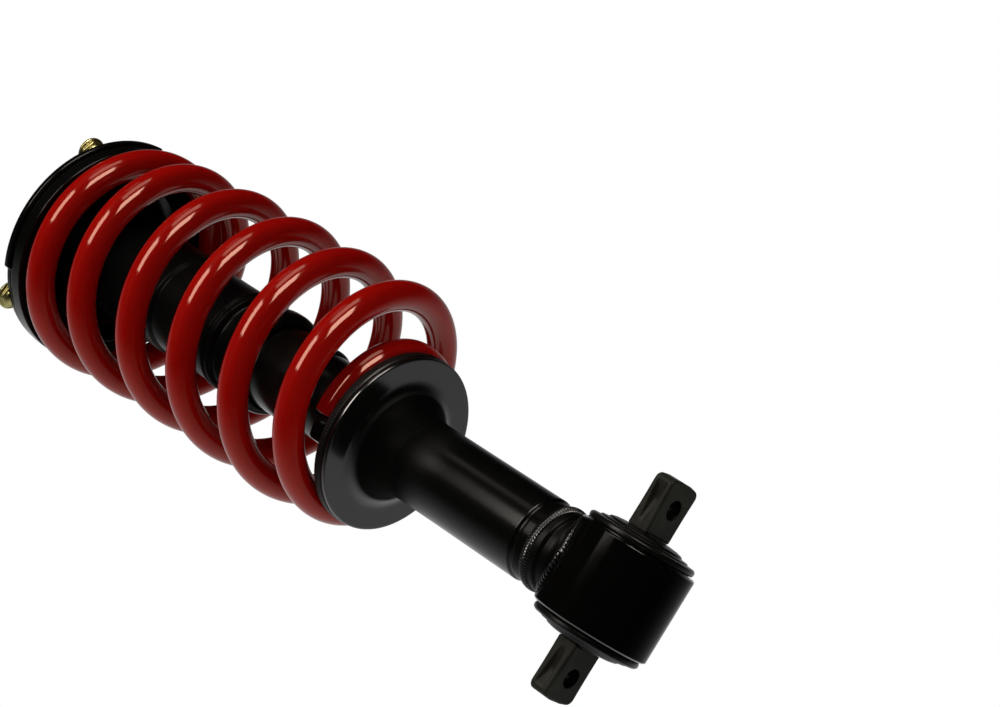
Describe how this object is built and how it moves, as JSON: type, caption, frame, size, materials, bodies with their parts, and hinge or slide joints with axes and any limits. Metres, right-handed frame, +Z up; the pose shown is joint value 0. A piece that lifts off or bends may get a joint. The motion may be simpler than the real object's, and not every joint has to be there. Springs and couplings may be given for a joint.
{
  "type": "strut assembly",
  "caption": "Coil-over front strut: helical coil spring round a twin-tube damper, stud-plate top mount with rubber seats, and a rubber-bushed bar pin below.",
  "frame": {"origin": "where the damper's axis crosses the axis of the bar pin, which is also the centre of the two bolt holes", "axes": "+Z up the damper's axis towards the studs, Y along the bar pin, +X square to both, on the side of the two studs that stand closer together"},
  "size_m": [0.1537, 0.1619, 0.5539],
  "materials": {
    "spring_paint": "gloss red powder coat on spring steel",
    "black_paint": "satin black paint on pressed steel",
    "weld": "satin black paint over weld beads",
    "rubber_black": "moulded black rubber, satin",
    "shield_rubber": "soft moulded black rubber, satin",
    "urethane": "dense foamed urethane, matte",
    "zinc_steel": "yellow zinc plate",
    "bright_steel": "plain turned or drawn steel",
    "sintered_steel": "sintered steel, matte",
    "chrome_rod": "hard chrome, ground",
    "phosphate_steel": "dark olive-grey phosphate on forged steel",
    "aluminium": "turned aluminium",
    "band": "filled low-friction plastic"
  },
  "bodies": {
    "mount": {"mount_plate": "black_paint", "mount_studs": "zinc_steel", "upper_spring_seat": "black_paint", "upper_insulator": "rubber_black", "mount_bushing_lower": "rubber_black", "mount_bushing_upper": "rubber_black", "mount_sleeve": "bright_steel", "lower_washer": "zinc_steel", "upper_washer": "zinc_steel", "rod_nut": "zinc_steel", "piston_rod": "chrome_rod", "bump_stop": "urethane", "dust_shield": "shield_rubber", "rebound_stop": "rubber_black", "piston": "sintered_steel", "piston_band": "band", "piston_nut": "bright_steel"},
    "damper": {"spring": "spring_paint", "lower_insulator": "rubber_black", "lower_spring_seat": "black_paint", "damper_tube": "black_paint", "tube_cap": "black_paint", "oil_seal": "rubber_black", "rod_guide": "aluminium", "pressure_tube": "bright_steel", "base_valve": "sintered_steel", "base_cap": "black_paint", "base_weld": "weld", "eye_weld": "weld", "bushing_can": "black_paint", "bushing_rubber": "rubber_black"},
    "bar_pin": {"bar_pin": "phosphate_steel"}
  },
  "joints": [
    {"name": "damper_stroke", "type": "slide", "parent": "mount", "child": "damper", "axis": [0, 0, 1], "range_m": [0, 0.095], "stiffness_N_per_m": 82000, "springref_m": -0.03, "deforming": ["spring"]},
    {"name": "bar_pin_twist", "type": "hinge", "parent": "damper", "child": "bar_pin", "pos_m": [0, 0, 0], "axis": [0, 1, 0], "range_deg": [-15, 15], "stiffness_Nm_per_rad": 60}
  ]
}
